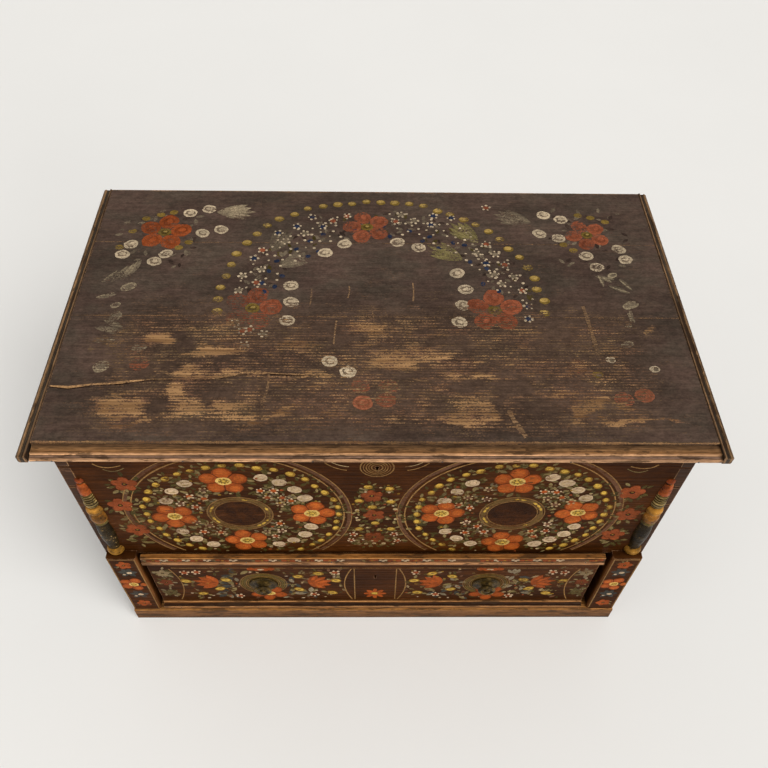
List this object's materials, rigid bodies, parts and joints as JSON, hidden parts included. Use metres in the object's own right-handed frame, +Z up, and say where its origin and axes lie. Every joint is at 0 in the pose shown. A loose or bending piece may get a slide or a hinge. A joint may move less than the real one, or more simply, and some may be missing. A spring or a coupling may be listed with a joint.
{
  "type": "painted wooden trunk",
  "caption": "Painted dovetailed pine chest with a hinged moulded lid, turned corner columns and a full-width drawer in its base, both with locks; holds linen and clothes.",
  "frame": {"origin": "on the floor, under the middle of the lid's outline", "axes": "+X to the right seen from the front, +Y from the front to the back, +Z up"},
  "size_m": [1.2, 0.697, 0.718],
  "materials": {
    "painted_front": "worn oil paint, satin",
    "painted_lid": "worn oil paint, satin",
    "painted_sides": "worn oil paint, satin",
    "ochre_trim": "worn oil paint, satin",
    "turned_column": "oil paint in bands, satin",
    "bare_pine": "aged, unpainted",
    "knob_wood": "worn dark paint",
    "wrought_iron": "dark, lightly rusted"
  },
  "bodies": {
    "case": {"front_board": "painted_front", "back_board": "bare_pine", "side_board_left": "painted_sides", "side_board_right": "painted_sides", "floor_board_1": "bare_pine", "floor_board_2": "bare_pine", "floor_board_3": "bare_pine", "column_left": "turned_column", "column_right": "turned_column", "post_left": "painted_front", "post_right": "painted_front", "plinth_rail": "ochre_trim", "base_side_left": "painted_sides", "base_side_right": "painted_sides", "base_back": "bare_pine", "runner_left": "bare_pine", "runner_right": "bare_pine", "guide_left": "bare_pine", "guide_right": "bare_pine", "drawer_stops": "bare_pine", "lid_lock_case": "wrought_iron", "lid_lock_nails": "wrought_iron", "hinge_plate_left": "wrought_iron", "hinge_plate_right": "wrought_iron", "hinge_pin_left": "wrought_iron", "hinge_pin_right": "wrought_iron", "hinge_plate_nails": "wrought_iron"},
    "lid": {"lid_board_front": "painted_lid", "lid_board_middle": "painted_lid", "lid_board_back": "painted_lid", "lid_front_moulding": "ochre_trim", "lid_cleat_left": "ochre_trim", "lid_cleat_right": "ochre_trim", "lid_sprigs": "wrought_iron", "lid_batten_left": "bare_pine", "lid_batten_right": "bare_pine", "batten_nails": "wrought_iron", "hinge_strap_left": "wrought_iron", "hinge_strap_right": "wrought_iron", "hinge_strap_nails": "wrought_iron", "lid_lock_staple": "wrought_iron", "lid_staple_nails": "wrought_iron"},
    "drawer": {"drawer_front": "painted_front", "drawer_side_left": "bare_pine", "drawer_side_right": "bare_pine", "drawer_back": "bare_pine", "drawer_bottom": "bare_pine", "drawer_top_moulding": "ochre_trim", "drawer_bottom_moulding": "ochre_trim", "drawer_sprigs": "wrought_iron", "knob_left": "knob_wood", "knob_right": "knob_wood", "drawer_lock_case": "wrought_iron", "drawer_lock_nails": "wrought_iron"},
    "lid_bolt": {"lid_lock_bolt": "wrought_iron"},
    "drawer_bolt": {"drawer_lock_bolt": "wrought_iron"}
  },
  "joints": [
    {"name": "lid_hinge", "type": "hinge", "parent": "case", "child": "lid", "pos_m": [0, 0.3399, 0.6896], "axis": [-1, 0, 0], "range_deg": [0, 100]},
    {"name": "drawer_slide", "type": "slide", "parent": "case", "child": "drawer", "axis": [0, -1, 0], "range_m": [0, 0.4]},
    {"name": "lid_bolt_slide", "type": "slide", "parent": "case", "child": "lid_bolt", "axis": [1, 0, 0], "range_m": [0, 0.018]},
    {"name": "drawer_bolt_slide", "type": "slide", "parent": "drawer", "child": "drawer_bolt", "axis": [0, 0, 1], "range_m": [0, 0.009]}
  ]
}
